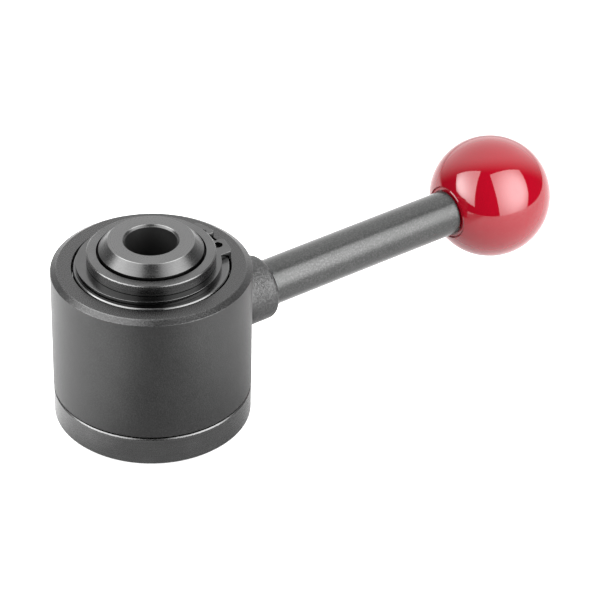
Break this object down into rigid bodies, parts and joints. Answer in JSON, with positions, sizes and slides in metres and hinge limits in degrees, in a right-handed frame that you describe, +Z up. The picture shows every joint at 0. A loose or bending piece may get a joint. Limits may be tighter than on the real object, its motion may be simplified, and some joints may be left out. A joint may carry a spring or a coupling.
{
  "type": "lever-operated pull clamp",
  "caption": "Quick clamping nut: round blackened housing on a base flange, side lever with red ball knob, and a middle draw bush that lifts to pull a stud through its bore.",
  "frame": {"origin": "on the bore axis at the underside of the base flange", "axes": "+Z up along the bore towards the nut seat, +X along the lever at rest"},
  "size_m": [0.1505, 0.05, 0.0504],
  "materials": {
    "housing": "matt black oxide, rough on the boss",
    "turned_steel": "fine turned and blackened",
    "ring_steel": "phosphated spring steel",
    "rod_steel": "blackened drawn bar, satin",
    "hard_steel": "ground and oiled",
    "bronze": "plain bronze",
    "brass": "turned brass",
    "ball_red": "polished red thermoset plastic"
  },
  "bodies": {
    "base": {"base_sleeve": "turned_steel", "thrust_washer": "bronze", "support_washer": "turned_steel", "circlip": "ring_steel"},
    "lever_housing": {"housing": "housing", "cam_sleeve": "hard_steel", "cam_dowel_1": "hard_steel", "cam_dowel_2": "hard_steel", "lever_rod": "rod_steel", "knob_insert": "brass", "ball_knob": "ball_red"},
    "bush": {"draw_bush": "turned_steel", "follower_pin_1": "hard_steel", "follower_pin_2": "hard_steel"}
  },
  "joints": [
    {"name": "lever_turn", "type": "hinge", "parent": "base", "child": "lever_housing", "pos_m": [0, 0, 0.0239], "axis": [0, 0, -1], "range_deg": [0, 90]},
    {"name": "bush_lift", "type": "slide", "parent": "base", "child": "bush", "axis": [0, 0, 1], "range_m": [0, 0.0027]}
  ],
  "couplings": [
    {"joint": "bush_lift", "follows": "lever_turn", "m_per_rad": 0.0017188}
  ]
}
